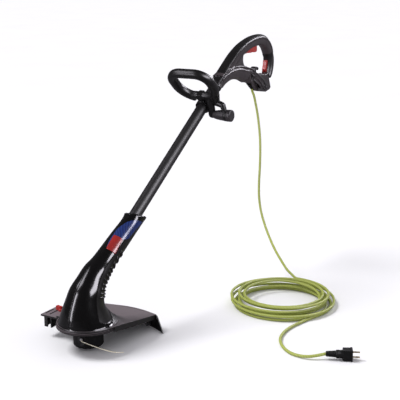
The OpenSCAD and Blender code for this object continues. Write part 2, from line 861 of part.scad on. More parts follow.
module lock_pin() {
    color("silver") cross_pin(lock_pivot, 2, -grip_half + shell_wall, grip_half - shell_wall);
}

module lock_spring() {
    color("silver") translate([loop_c[0], 0, loop_c[1]]) rotate([0, 98, 0])
        translate([0, 0, 61.3]) helical_spring(3, 0.45, 5, 24.3);
}

module cord_hook() {
    color([0.05, 0.05, 0.05]) slab(-9, 9) polygon([
        [864, 578], [864, 604], [868, 611], [877, 614.5], [888, 612], [892, 606.5], [888, 602.5],
        [882, 606.5], [875, 604.5], [875, 597.5], [897, 588], [897, 578]
    ]);
}

// ---------------------------------------------------------------- inlet, connector and cord

module on_inlet() {
    translate(inlet_at) rotate([0, inlet_tilt, 0]) children();
}

module inlet_block() {
    color([0.12, 0.12, 0.12]) on_inlet() translate([0, 0, -9]) cylinder(r = 12, h = 9);
}

module inlet_prongs() {
    color("silver") on_inlet() for (y = [-6.35, 6.35])
        translate([-3.2, y - 0.75, 0]) cube([6.4, 1.5, 16]);
}

module cord_connector() {
    color([0.06, 0.06, 0.06]) on_inlet() difference() {
        rotate_extrude() polygon([
            [0, 0.3], [14.5, 0.3], [15.5, 1.5], [15.5, connector_len - 6], [14.5, connector_len],
            [9, connector_len + 5], [0, connector_len + 5]
        ]);
        for (y = [-6.35, 6.35]) translate([-3.4, y - 0.95, -1]) cube([6.8, 1.9, 18]);
    }
}

module connector_relief() {
    color([0.06, 0.06, 0.06]) on_inlet() translate([0, 0, connector_len + 5])
        cylinder(r1 = 12.5, r2 = cord_d / 2 + 0.8, h = relief_end - connector_len - 5);
}

module cord_drop() {
    color([0.68, 0.74, 0.3]) swept(smooth(drop_route, 2), cord_d / 2, 8);
}

module cord_coil() {
    color([0.68, 0.74, 0.3]) translate([coil_c[0], coil_c[1], 0]) rotate_extrude()
        polygon(concat(
            [[coil_in + 8, 0.2], [coil_out - 8, 0.2]],
            arc([coil_out - 10, 14], 10, -30, 60, 6),
            [[coil_out - 22, coil_h], [coil_in + 16, coil_h]],
            arc([coil_in + 12, 16], 12, 130, 210, 6)
        ));
}

module cord_tail() {
    color([0.68, 0.74, 0.3]) swept(smooth(tail_route, 2), cord_d / 2, 8);
}

// Frame of the plug: origin where the cord enters, local +X towards the prongs
module on_plug() {
    translate(plug_at) rotate([0, 0, plug_turn]) children();
}

module plug_relief() {
    color([0.06, 0.06, 0.06]) on_plug() rotate([0, 90, 0]) rotate_extrude() polygon([
        [0, 0], [6.5, 0], [7.8, 2], [8.8, 24], [0, 24]
    ]);
}

module plug_body() {
    color([0.06, 0.06, 0.06]) on_plug() translate([24, 0, 0]) {
        rotate([0, 90, 0]) rotate_extrude() polygon([
            [0, 0], [9.5, 0], [10.5, 3], [10, 10], [11, 18], [0, 18]
        ]);
        translate([16, -11, -13]) cube([18, 22, 26]);
        translate([34, -12, -14]) cube([5, 24, 28]);
    }
}

module plug_prongs() {
    color([0.8, 0.7, 0.4]) on_plug() translate([63, 0, 0]) {
        for (z = [-6.35, 6.35]) translate([0, -3.2, z - 0.75]) cube([17.5, 6.4, 1.5]);
    }
}

housing_left();
housing_right();
housing_screws();
motor_stator();
motor_windings();
brush_holders();
bearing_bracket();
upper_bearing();
lower_bearing();
motor_armature();
motor_shaft();
cooling_fan();
drive_hub();
spool_housing();
line_eyelet();
line_tail();
spool_spring();
spool();
wound_line();
bump_knob();
guard();
guard_screws();
line_cutter();
edging_guide();
guide_pin();
guide_lever();
shaft_tube();
motor_lead();
tube_clamp();
assist_handle();
clamp_bolt();
clamp_nut();
side_grip();
grip_cap();
handle_left();
handle_right();
handle_screws();
trigger();
trigger_pin();
trigger_spring();
power_switch();
lock_lever();
lock_pin();
lock_spring();
cord_hook();
inlet_block();
inlet_prongs();
cord_connector();
connector_relief();
cord_drop();
cord_coil();
cord_tail();
plug_relief();
plug_body();
plug_prongs();
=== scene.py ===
"""Looks of a corded string trimmer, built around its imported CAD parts.

Frame as in the CAD: the origin is under the bump knob, +Z runs up the spool axis and +X towards
the operator. Helper functions take millimetres, and everything made is in metres.
"""

import json
import math

import bpy
import bmesh
from mathutils import Matrix, Vector


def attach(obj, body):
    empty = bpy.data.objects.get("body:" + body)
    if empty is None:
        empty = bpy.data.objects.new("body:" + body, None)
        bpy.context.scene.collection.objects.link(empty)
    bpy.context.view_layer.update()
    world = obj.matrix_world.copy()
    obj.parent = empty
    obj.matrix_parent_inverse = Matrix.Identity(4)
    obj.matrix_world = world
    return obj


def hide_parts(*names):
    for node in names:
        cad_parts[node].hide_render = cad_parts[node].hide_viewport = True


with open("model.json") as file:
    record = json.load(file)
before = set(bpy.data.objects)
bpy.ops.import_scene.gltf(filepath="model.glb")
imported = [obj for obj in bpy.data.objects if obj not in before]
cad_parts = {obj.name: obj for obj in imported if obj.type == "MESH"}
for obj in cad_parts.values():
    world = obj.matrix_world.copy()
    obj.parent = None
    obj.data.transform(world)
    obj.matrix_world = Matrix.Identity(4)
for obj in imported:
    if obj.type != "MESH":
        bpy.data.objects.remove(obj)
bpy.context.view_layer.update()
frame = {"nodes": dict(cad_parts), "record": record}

# ---------------------------------------------------------------- driving dimensions, millimetres

LEAN = 55.5
AXIS_Z = 143
TUBE_R = 16

GRIP_START = 876
GRIP_BEND_R = 320
LOOP_R = 72
SLEEVE_START = 764
LOWER_TOP_C = (744, 370)
LOWER_TOP_R = 260
LOWER_LOW_C = (730, 457)
LOWER_LOW_R = 131

BOLT_S = 690
BOLT_UP = 32
CROSS_S = -18
CROSS_UP = -52
ASSIST_HALF = 60
ASSIST_RISE = 106
ASSIST_TILT = 15

INLET_AT = (836, 0, 592.5)
INLET_TILT = 150

CORD_D = 7.5
COIL_C = (517, -272)
COIL_START, COIL_END = 3.4, -104 - 8 * 360
COIL_RADII = [134, 99, 150, 105, 144]
TURNS_PER_LAYER = 2.05
LAYER_UP = 9.3
DROP_ROUTE = [
    (862, 0, 547.5), (868, 0, 536.5), (875, -2, 523), (878, -5, 505), (878, -12, 475),
    (873, -20, 445), (862, -31, 405), (845, -42, 360), (826, -51, 310), (810, -57, 262),
    (800, -63, 220), (790, -75, 180), (772, -97, 145), (748, -126, 113), (720, -160, 84),
    (689, -199, 60), (668, -225, 47), (657, -245, 39),
]
TAIL_ROUTE = [
    (440, -398, 4), (400, -388, 4), (355, -380, 4), (309, -382, 4), (270, -394, 4),
    (236, -417, 4), (212, -446, 4), (203, -474, 5), (205, -500, 7.5), (216, -520, 11),
    (226, -535, 14.5),
]
PLUG_TURN = 296

# Rings of the housing: centre x, centre z, tilt, half width in XZ, half width in Y
HOUSING_RINGS = [
    (0, 66, 0, 74, 74), (-6, 74, 0, 68, 68), (-9.5, 84, 0, 63, 63), (-12, 97, 0, 58, 57),
    (-12, 112, 2, 52.5, 51), (-7.5, 128, 8, 47.5, 46.5), (2.5, 145, 20, 44, 43.5),
    (19.5, 164, 36, 37.5, 37), (41.5, 182, 48, 34, 34.5), (66, 196, 55, 30, 30.5),
    (100.5, 217, 57.5, 28, 28.5), (144.5, 243, 57, 27, 27.5), (188, 268, 53, 25.5, 26),
    (215, 287, 22, 28.5, 28.5),
]

# ---------------------------------------------------------------- small geometry helpers


def cosd(a):
    return math.cos(math.radians(a))


def sind(a):
    return math.sin(math.radians(a))


def mix(a, b, t):
    return a + (b - a) * t


def look_up(table, x):
    """Straight-line reading of a table of (x, value) pairs."""
    for (x0, y0), (x1, y1) in zip(table, table[1:]):
        if x <= x1:
            return mix(y0, y1, min(max((x - x0) / (x1 - x0), 0), 1))
    return table[-1][1]


def tube_point(s, up=0, y=0):
    """A point beside the shaft axis: s along it, up above it."""
    return Vector((s * sind(LEAN) - up * cosd(LEAN), y, AXIS_Z + s * cosd(LEAN) + up * sind(LEAN)))


def arc(centre, r, a0, a1, n):
    return [(centre[0] + r * cosd(mix(a0, a1, i / n)), centre[1] + r * sind(mix(a0, a1, i / n)))
            for i in range(n + 1)]


def upright(points, y=0):
    """Points of an XZ outline as vectors at one y."""
    return [Vector((p[0], y, p[1])) for p in points]


def smooth_path(points, steps):
    """A smooth curve through all the points."""
    p = [Vector(q) for q in points]
    out = []
    for i in range(len(p) - 1):
        a, b, c, d = p[max(i - 1, 0)], p[i], p[i + 1], p[min(i + 2, len(p) - 1)]
        for k in range(steps):
            t = k / steps
            out.append(0.5 * (2 * b + t * (c - a) + t * t * (2 * a - 5 * b + 4 * c - d)
                              + t ** 3 * (3 * b - a - 3 * c + d)))
    out.append(p[-1])
    return out


def path_frames(path, hint=(0, 1, 0)):
    """Unit heading and two cross directions at each point, turned as little as possible."""
    out = []
    side = Vector(hint)
    for i in range(len(path)):
        t = (path[min(i + 1, len(path) - 1)] - path[max(i - 1, 0)]).normalized()
        side = (side - t * side.dot(t)).normalized()
        out.append((t, side, t.cross(side)))
    return out


def new_object(name, mesh):
    obj = bpy.data.objects.new(name, mesh)
    bpy.context.scene.collection.objects.link(obj)
    return obj


def skin(name, rings, caps=True, closed=False, sharp=40):
    """Surface over rings of points in millimetres, with UVs along and around it in metres."""
    n = len(rings[0])
    bm = bmesh.new()
    grid = [[bm.verts.new(Vector(p) / 1000) for p in ring] for ring in rings]
    uv = bm.loops.layers.uv.new("UVMap")
    along = [0]
    for a, b in zip(rings, rings[1:]):
        centre_a = sum((Vector(p) for p in a), Vector()) / n
        centre_b = sum((Vector(p) for p in b), Vector()) / n
        along.append(along[-1] + (centre_b - centre_a).length / 1000)
    rows = len(rings)
    for i in range(rows if closed else rows - 1):
        j = (i + 1) % rows
        for k in range(n):
            m = (k + 1) % n
            face = bm.faces.new((grid[i][k], grid[i][m], grid[j][m], grid[j][k]))
            u1 = along[i + 1] if i + 1 < rows else along[i] + 0.01
            spots = ((along[i], k / n), (along[i], (k + 1) / n), (u1, (k + 1) / n), (u1, k / n))
            for loop, spot in zip(face.loops, spots):
                loop[uv].uv = spot
    if caps and not closed:
        bm.faces.new(list(reversed(grid[0])))
        bm.faces.new(grid[-1])
    bmesh.ops.recalc_face_normals(bm, faces=bm.faces)
    return mesh_object(name, bm, sharp)


def mesh_object(name, bm, sharp=40):
    mesh = bpy.data.meshes.new(name)
    bm.to_mesh(mesh)
    bm.free()
    mesh.shade_smooth()
    if sharp:
        mesh.set_sharp_from_angle(angle=math.radians(sharp))
    return new_object(name, mesh)


def tube(name, path, radius, sides=16, hint=(0, 1, 0), sharp=40):
    """Round tube along a path. radius is a number or a function of the fraction of the path."""
    size = radius if callable(radius) else (lambda f: radius)
    rings = []
    for i, (_, u, v) in enumerate(path_frames(path, hint)):
        r = size(i / (len(path) - 1))
        rings.append([path[i] + r * (cosd(360 * k / sides) * u + sind(360 * k / sides) * v)
                      for k in range(sides)])
    return skin(name, rings, sharp=sharp)


def lathe(name, profile, place, sides=48, sharp=35):
    """Turned part: profile of (radius, height), placed by a matrix with its axis on local Z."""
    rings = [[place @ Vector((max(r, 0.01) * cosd(360 * k / sides),
                              max(r, 0.01) * sind(360 * k / sides), h)) for k in range(sides)]
             for r, h in profile]
    return skin(name, rings, sharp=sharp)


def plate(name, outline, y0, y1, round_by=1.5, steps=3, sharp=40):
    """Slab with an XZ outline between two values of y, with rounded edges."""
    bm = bmesh.new()
    near = [bm.verts.new(p / 1000) for p in upright(outline, y0)]
    far = [bm.verts.new(p / 1000) for p in upright(outline, y1)]
    n = len(outline)
    bm.faces.new(near)
    bm.faces.new(list(reversed(far)))
    for k in range(n):
        m = (k + 1) % n
        bm.faces.new((near[k], far[k], far[m], near[m]))
    bmesh.ops.recalc_face_normals(bm, faces=bm.faces)
    obj = mesh_object(name, bm, sharp)
    add_bevel(obj, round_by, steps, 30)
    return obj


def add_bevel(obj, width, steps=2, angle=35):
    mod = obj.modifiers.new("rounded edges", "BEVEL")
    mod.width = width / 1000
    mod.segments = steps
    mod.limit_method = "ANGLE"
    mod.angle_limit = math.radians(angle)
    mod.harden_normals = True
    return mod


def apply_modifiers(obj):
    depsgraph = bpy.context.evaluated_depsgraph_get()
    mesh = bpy.data.meshes.new_from_object(obj.evaluated_get(depsgraph))
    obj.modifiers.clear()
    obj.data = mesh


def join(name, objs):
    """One object from several, with their modifiers applied."""
    bm = bmesh.new()
    for obj in objs:
        apply_modifiers(obj)
        obj.data.transform(obj.matrix_world)
        bm.from_mesh(obj.data)
        bpy.data.objects.remove(obj)
    return mesh_object(name, bm, 40)


def keep_side(obj, side, gap=0.15):
    """Cuts a piece at the plane of symmetry and keeps one side, closing the cut."""
    bm = bmesh.new()
    bm.from_mesh(obj.data)
    geometry = bm.verts[:] + bm.edges[:] + bm.faces[:]
    cut = bmesh.ops.bisect_plane(bm, geom=geometry, plane_co=(0, side * gap / 1000, 0),
                                 plane_no=(0, -side, 0), clear_outer=True)
    edges = [e for e in cut["geom_cut"] if isinstance(e, bmesh.types.BMEdge)]
    bmesh.ops.holes_fill(bm, edges=edges)
    bm.to_mesh(obj.data)
    bm.free()
    obj.data.set_sharp_from_angle(angle=math.radians(40))


def shaft_place(s, up=0, y=0, turn=None):
    """Matrix with local Z along the shaft, or turned further."""
    m = Matrix.Translation(tube_point(s, up, y)) @ Matrix.Rotation(math.radians(LEAN), 4, "Y")
    return m @ turn if turn else m


# ---------------------------------------------------------------- materials


class Shader:
    """A Principled material with short calls for its node graph."""

    def __init__(self, name, metallic=0, specular=0.5):
        self.material = bpy.data.materials.new(name)
        self.material.use_nodes = True
        self.nodes = self.material.node_tree.nodes
        self.links = self.material.node_tree.links
        self.bsdf = self.nodes["Principled BSDF"]
        self.bsdf.inputs["Metallic"].default_value = metallic
        self.bsdf.inputs["Specular IOR Level"].default_value = specular
        self.place = self.nodes.new("ShaderNodeTexCoord").outputs["Object"]
        self.normal = None

    def plug(self, socket, value):
        if isinstance(value, bpy.types.NodeSocket):
            self.links.new(value, socket)
        else:
            socket.default_value = value

    def uv(self):
        return self.nodes.new("ShaderNodeUVMap").outputs["UV"]

    def stretched(self, source, scale):
        node = self.nodes.new("ShaderNodeMapping")
        self.links.new(source, node.inputs["Vector"])
        node.inputs["Scale"].default_value = scale
        return node.outputs["Vector"]

    def noise(self, scale, detail=3, rough=0.5, source=None):
        node = self.nodes.new("ShaderNodeTexNoise")
        self.links.new(source or self.place, node.inputs["Vector"])
        node.inputs["Scale"].default_value = scale
        node.inputs["Detail"].default_value = detail
        node.inputs["Roughness"].default_value = rough
        return node.outputs["Fac"]

    def cells(self, scale):
        node = self.nodes.new("ShaderNodeTexVoronoi")
        self.links.new(self.place, node.inputs["Vector"])
        node.inputs["Scale"].default_value = scale
        return node.outputs["Distance"]

    def span(self, value, low, high, to_low=0.0, to_high=1.0):
        node = self.nodes.new("ShaderNodeMapRange")
        self.plug(node.inputs["Value"], value)
        for key, number in (("From Min", low), ("From Max", high),
                            ("To Min", to_low), ("To Max", to_high)):
            node.inputs[key].default_value = number
        return node.outputs["Result"]

    def math(self, kind, a, b=0.0):
        node = self.nodes.new("ShaderNodeMath")
        node.operation = kind
        self.plug(node.inputs[0], a)
        self.plug(node.inputs[1], b)
        return node.outputs[0]

    def blend(self, factor, a, b):
        node = self.nodes.new("ShaderNodeMix")
        node.data_type = "RGBA"
        self.plug(node.inputs[0], factor)
        self.plug(node.inputs[6], a if isinstance(a, bpy.types.NodeSocket) else (*a, 1))
        self.plug(node.inputs[7], b if isinstance(b, bpy.types.NodeSocket) else (*b, 1))
        return node.outputs[2]

    def axes(self, source):
        node = self.nodes.new("ShaderNodeSeparateXYZ")
        self.links.new(source, node.inputs[0])
        return node.outputs

    def bump(self, height, depth_mm, strength=1.0):
        node = self.nodes.new("ShaderNodeBump")
        node.inputs["Strength"].default_value = strength
        node.inputs["Distance"].default_value = depth_mm / 1000
        self.links.new(height, node.inputs["Height"])
        if self.normal:
            self.links.new(self.normal, node.inputs["Normal"])
        self.normal = node.outputs["Normal"]

    def done(self, color, rough):
        self.plug(self.bsdf.inputs["Base Color"], color if isinstance(color, bpy.types.NodeSocket)
                  else (*color, 1))
        self.plug(self.bsdf.inputs["Roughness"], rough)
        if self.normal:
            self.links.new(self.normal, self.bsdf.inputs["Normal"])
        return self.material


def scaled(color, k):
    return tuple(min(c * k, 1) for c in color)


def moulded(name, color, rough, grain=0.02, grain_scale=1500, specular=0.5, coat=0.0):
    """Moulded plastic: fine grain, broad flow marks, and rubbed patches that are a bit duller."""
    sh = Shader(name, specular=specular)
    broad = sh.noise(14, 4)
    fine = sh.noise(grain_scale, 2)
    streaks = sh.noise(1, 5, source=sh.stretched(sh.place, (260, 30, 60)))
    rub = sh.span(streaks, 0.6, 0.78)
    tint = sh.blend(sh.span(broad, 0.3, 0.7), scaled(color, 0.82), scaled(color, 1.2))
    tint = sh.blend(sh.math("MULTIPLY", rub, 0.35), tint, scaled(color, 2.2))
    shine = sh.math("ADD", sh.span(broad, 0.3, 0.7, rough * 0.85, rough * 1.15),
                    sh.math("MULTIPLY", rub, 0.12))
    sh.bump(fine, grain)
    sh.bump(broad, 0.12)
    sh.bsdf.inputs["Coat Weight"].default_value = coat
    sh.bsdf.inputs["Coat Roughness"].default_value = 0.06
    return sh.done(tint, shine)


def grained(name, color, rough, depth=0.12, scale=420, top_sheen_color=None):
    """Textured plastic: a leathery spark-eroded grain with painted shade in its pits, paler where
    it is scuffed, and paler on up-facing faces as a painted sheen, if a sheen colour is given."""
    sh = Shader(name, specular=0.45)
    broad = sh.noise(11, 4)
    pits = sh.cells(scale)
    fine = sh.noise(scale * 3, 3)
    scuff = sh.span(sh.noise(55, 6, 0.7), 0.56, 0.74)
    tint = sh.blend(sh.span(broad, 0.3, 0.7), scaled(color, 0.85), scaled(color, 1.18))
    tint = sh.blend(sh.math("MULTIPLY", scuff, 0.3), tint, scaled(color, 2.0))
    # The pits of the grain are painted darker: painted shade in the recesses.
    tint = sh.blend(sh.math("MULTIPLY", sh.span(pits, 0.0, 0.5, 1, 0), 0.35), tint,
                    scaled(color, 0.55))
    # Up-facing faces are painted paler: a painted sheen where the top catches the light, varied by
    # the scuff pattern.
    if top_sheen_color:
        facing = sh.axes(sh.nodes.new("ShaderNodeNewGeometry").outputs["Normal"])[2]
        painted_top_sheen = sh.blend(sh.span(scuff, 0, 1), top_sheen_color, scaled(top_sheen_color, 1.25))
        tint = sh.blend(sh.span(facing, 0.75, 0.97), tint, painted_top_sheen)
    shine = sh.span(sh.math("ADD", broad, sh.math("MULTIPLY", fine, 0.4)), 0.4, 0.9,
                    rough - 0.08, rough + 0.1)
    sh.bump(pits, depth)
    sh.bump(fine, depth * 0.4)
    return sh.done(tint, shine)


def metal(name, color, rough, along=(20, 20, 900)):
    """Drawn or turned metal: fine lines one way and faint stains."""
    sh = Shader(name, metallic=1)
    lines = sh.noise(1, 4, source=sh.stretched(sh.place, along))
    stain = sh.noise(90, 5, 0.65)
    tint = sh.blend(sh.span(stain, 0.35, 0.7), scaled(color, 0.75), scaled(color, 1.1))
    shine = sh.math("ADD", sh.span(lines, 0.3, 0.7, rough - 0.06, rough + 0.1),
                    sh.span(stain, 0.5, 0.8, 0, 0.12))
    sh.bump(lines, 0.02)
    return sh.done(tint, shine)


def satin_paint(name, color, rough):
    """Powder-coated tube: slight orange peel and a few long rubbed lines."""
    sh = Shader(name, specular=0.5)
    peel = sh.noise(650, 2)
    broad = sh.noise(9, 3)
    lines = sh.span(sh.noise(1, 5, source=sh.stretched(sh.place, (25, 300, 25))), 0.62, 0.75)
    tint = sh.blend(sh.span(broad, 0.3, 0.7), scaled(color, 0.85), scaled(color, 1.15))
    tint = sh.blend(sh.math("MULTIPLY", lines, 0.25), tint, scaled(color, 2.5))
    shine = sh.math("ADD", sh.span(peel, 0.3, 0.7, rough - 0.05, rough + 0.06),
                    sh.math("MULTIPLY", lines, 0.1))
    sh.bump(peel, 0.05)
    return sh.done(tint, shine)


def cord_jacket(name, color, dark, pale):
    """Extruded cord jacket with the twist of its cores showing as slanting ribs, with painted
    shade in their grooves and painted highlights on their crests.
    """
    sh = Shader(name, specular=0.4)
    u, v, _ = sh.axes(sh.uv())
    turn = sh.math("ADD", sh.math("MULTIPLY", u, 260), sh.math("MULTIPLY", v, 2))
    rib = sh.math("ABSOLUTE", sh.math("SINE", sh.math("MULTIPLY", turn, math.pi)))
    dust = sh.noise(240, 4, 0.6)
    fine = sh.noise(2500, 2)
    # Painted shade: the grooves between the ribs are darker. Painted highlight: the rib crests are
    # paler.
    tint = sh.blend(sh.span(rib, 0.0, 0.75), dark, color)
    tint = sh.blend(sh.math("MULTIPLY", sh.span(rib, 0.8, 1.0), 0.5), tint, pale)
    tint = sh.blend(sh.math("MULTIPLY", sh.span(dust, 0.5, 0.8), 0.35), tint, scaled(color, 0.75))
    shine = sh.span(dust, 0.3, 0.7, 0.42, 0.6)
    sh.bump(rib, 0.25)
    sh.bump(fine, 0.03)
    return sh.done(tint, shine)


def decal(name, color, pale, rough=0.22):
    """Printed film under gloss: soft streaks in the print and a faint dot pattern."""
    sh = Shader(name, specular=0.5)
    u, v, _ = sh.axes(sh.uv())
    sweep = sh.math("ADD", sh.math("MULTIPLY", v, 5), sh.math("MULTIPLY", u, 14))
    band = sh.math("ABSOLUTE", sh.math("SINE", sh.math("MULTIPLY", sweep, math.pi)))
    soft = sh.noise(60, 3)
    tint = sh.blend(sh.span(band, 0.55, 1.0), color, pale)
    tint = sh.blend(sh.math("MULTIPLY", sh.span(soft, 0.4, 0.7), 0.4), tint, scaled(color, 0.7))
    sh.bump(sh.noise(900, 2), 0.01)
    return sh.done(tint, sh.span(soft, 0.3, 0.7, rough - 0.03, rough + 0.06))


def rubber(name, color, rough):
    """Soft black rubber or vinyl with a pale bloom."""
    sh = Shader(name, specular=0.35)
    broad = sh.noise(40, 4)
    fine = sh.noise(1800, 3)
    bloom = sh.span(sh.noise(120, 5, 0.7), 0.5, 0.75)
    tint = sh.blend(sh.span(broad, 0.3, 0.7), scaled(color, 0.8), scaled(color, 1.2))
    tint = sh.blend(sh.math("MULTIPLY", bloom, 0.25), tint, scaled(color, 2.4))
    sh.bump(fine, 0.05)
    return sh.done(tint, sh.span(broad, 0.3, 0.7, rough - 0.06, rough + 0.08))


GLOSS = moulded("housing_gloss", (0.0025, 0.0022, 0.0025), 0.15, grain=0.004, specular=0.4)
PANEL = moulded("housing_panel", (0.007, 0.0055, 0.0052), 0.34, grain=0.03, grain_scale=900,
                specular=0.35)
SATIN = moulded("handle_satin", (0.005, 0.0042, 0.0048), 0.36, grain=0.035, grain_scale=700,
                specular=0.4)
WEB = grained("handle_grain", (0.04, 0.03, 0.034), 0.38, depth=0.03, scale=600)
# The guard's paler top colour is a painted sheen on its up-facing faces.
GUARD = grained("guard_grain", (0.006, 0.005, 0.0055), 0.42, depth=0.1, scale=380,
                top_sheen_color=(0.17, 0.14, 0.155))
HEAD = moulded("head_black", (0.004, 0.0038, 0.0042), 0.4, grain=0.04, grain_scale=700,
               specular=0.3)
SPOOL = moulded("spool_grey", (0.05, 0.05, 0.05), 0.5)
NYLON = moulded("hub_nylon", (0.5, 0.46, 0.35), 0.45)
LINE = moulded("line_cream", (0.72, 0.66, 0.5), 0.35, grain=0.01)
RED = moulded("red_plastic", (0.42, 0.022, 0.018), 0.33, grain=0.03, grain_scale=600)
PAINT = satin_paint("tube_paint", (0.007, 0.0062, 0.0068), 0.46)
GRIP = rubber("grip_rubber", (0.03, 0.025, 0.029), 0.45)
PLUG = rubber("plug_black", (0.004, 0.004, 0.0042), 0.42)
STEEL = metal("fastener_steel", (0.55, 0.55, 0.57), 0.3)
SPRING = metal("spring_steel", (0.5, 0.5, 0.53), 0.28, (60, 60, 60))
CORE = metal("core_steel", (0.32, 0.32, 0.35), 0.42, (40, 40, 1800))
COPPER = metal("winding_copper", (0.55, 0.22, 0.09), 0.35, (900, 900, 900))
BRASS = metal("brush_brass", (0.55, 0.42, 0.16), 0.35)
BLADE = metal("blade_brass", (0.72, 0.56, 0.28), 0.24, (300, 300, 20))
# The darker and paler greens are the painted shade in the cord's rib grooves and the painted
# highlight on its crests.
CORD = cord_jacket("cord_green", (0.4, 0.45, 0.085), (0.24, 0.28, 0.04), (0.6, 0.65, 0.22))
BLUE = decal("decal_blue", (0.01, 0.022, 0.12), (0.02, 0.045, 0.2))
BADGE = decal("decal_red", (0.3, 0.014, 0.013), (0.36, 0.024, 0.02))

CAD_LOOKS = {
    "head_black": HEAD, "spool_grey": SPOOL, "hub_nylon": NYLON, "line_cream": LINE,
    "red_plastic": RED, "tube_black": PAINT, "grip_rubber": GRIP, "fastener_steel": STEEL,
    "spring_steel": SPRING, "core_steel": CORE, "winding_copper": COPPER, "brush_brass": BRASS,
    "lead_black": PLUG, "plug_black": PLUG, "blade_brass": BLADE, "handle_satin": SATIN,
    "guard_grain": GUARD, "housing_gloss": GLOSS, "cord_green": CORD,
}
BEVELS = {
    "spool_housing": 0.8, "bump_knob": 0.6, "guard": 1.4, "edging_guide": 0.9,
    "guide_lever": 1.2, "tube_clamp": 1.2, "clamp_bolt": 0.7, "clamp_nut": 0.5,
    "side_grip": 0.8, "trigger": 1.6, "lock_lever": 1.5, "cord_hook": 1.4,
    "cord_connector": 0.8, "plug_body": 2.0, "plug_prongs": 0.5, "grip_cap": 0.4,
    "line_cutter": 0.3,
}


def dress_cad():
    """Every CAD node gets its material, and the larger ones get rounded edges."""
    for entry in frame["record"]["subparts"]:
        obj = frame["nodes"][entry["node"]]
        for held in obj.material_slots:
            held.material = CAD_LOOKS[entry["material_slot"]]
        if entry["node"] in BEVELS:
            weld = obj.modifiers.new("weld", "WELD")
            weld.merge_threshold = 0.00001
            add_bevel(obj, BEVELS[entry["node"]], 3, 32)


def finish_piece(obj, material, body, nodes=()):
    obj.data.materials.append(material)
    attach(obj, body)
    if nodes:
        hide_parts(*nodes)
    return obj


# ---------------------------------------------------------------- camera, floor and light


def make_camera():
    data = bpy.data.cameras.new("camera")
    data.lens = 81.8
    data.sensor_width = 36
    camera = bpy.data.objects.new("camera", data)
    camera.location = (-1.666, -1.297, 0.895)
    look = Vector((0.8368, 0.4912, -0.2416))
    camera.rotation_euler = look.to_track_quat("-Z", "Y").to_euler()
    bpy.context.scene.collection.objects.link(camera)
    bpy.context.scene.camera = camera


def make_floor():
    bm = bmesh.new()
    outline = ((-30, -30), (30, -30), (30, 30), (-30, 30))
    corners = [bm.verts.new((x, y, -0.0002)) for x, y in outline]
    bm.faces.new(corners)
    floor = mesh_object("floor", bm, 0)
    sh = Shader("floor_paper", specular=0.2)
    tone = sh.noise(1.5, 2)
    paper = sh.blend(sh.span(tone, 0.3, 0.7), (0.85, 0.845, 0.87), (0.87, 0.865, 0.89))
    mirrored = sh.nodes.new("ShaderNodeLightPath").outputs["Is Glossy Ray"]
    floor.data.materials.append(sh.done(sh.blend(mirrored, paper, (0.16, 0.155, 0.17)), 0.9))


def aim_light(data, place, target):
    lamp = bpy.data.objects.new(data.name, data)
    lamp.location = place
    lamp.rotation_euler = (Vector(target) - Vector(place)).to_track_quat("-Z", "Y").to_euler()
    lamp.visible_camera = False
    bpy.context.scene.collection.objects.link(lamp)
    return lamp


def make_sheen(name, place, target, size, power):
    """A softbox that only shows as a reflection, so it leaves the floor's shadows alone."""
    data = bpy.data.lights.new(name, "AREA")
    data.shape = "RECTANGLE"
    data.size, data.size_y = size
    data.energy = power
    data.color = (0.95, 0.92, 1)
    aim_light(data, place, target).visible_diffuse = False


def make_sun(place, strength, spread):
    data = bpy.data.lights.new("sun", "SUN")
    data.energy = strength
    data.angle = math.radians(spread)
    aim_light(data, place, (0, 0, 0)).visible_glossy = False


def make_studio():
    world = bpy.data.worlds.new("studio")
    bpy.context.scene.world = world
    world.use_nodes = True
    nodes, links = world.node_tree.nodes, world.node_tree.links
    back = nodes["Background"]
    back.inputs["Color"].default_value = (0.98, 0.97, 1.0, 1)
    rays = nodes.new("ShaderNodeLightPath").outputs
    softer = nodes.new("ShaderNodeMath")
    softer.operation = "MULTIPLY_ADD"
    links.new(rays["Is Glossy Ray"], softer.inputs[0])
    softer.inputs[1].default_value = -0.5
    softer.inputs[2].default_value = 0.6
    links.new(softer.outputs[0], back.inputs["Strength"])
    seen = nodes.new("ShaderNodeBackground")
    seen.inputs["Strength"].default_value = 1.3
    pick = nodes.new("ShaderNodeMixShader")
    links.new(rays["Is Camera Ray"], pick.inputs[0])
    links.new(back.outputs[0], pick.inputs[1])
    links.new(seen.outputs[0], pick.inputs[2])
    links.new(pick.outputs[0], nodes["World Output"].inputs["Surface"])
    make_sun((-0.35, 1.0, 1.6), 2.4, 24)
    make_sheen("key", (-0.9, 1.6, 2.6), (0.4, 0, 0.2), (1.2, 1.2), 40)
    make_sheen("side", (-2.2, 1.3, 0.9), (0.3, 0, 0.3), (0.5, 2.2), 60)
    make_sheen("fill", (0.35, -2.5, 2.0), (0.5, 0, 0.4), (2.4, 1.0), 150)
    make_sheen("rim", (2.9, -0.95, 1.8), (0.7, 0, 0.5), (1.1, 0.9), 75)
    scene = bpy.context.scene
    scene.view_settings.view_transform = "Standard"
    scene.view_settings.look = "None"


# ---------------------------------------------------------------- extension cord


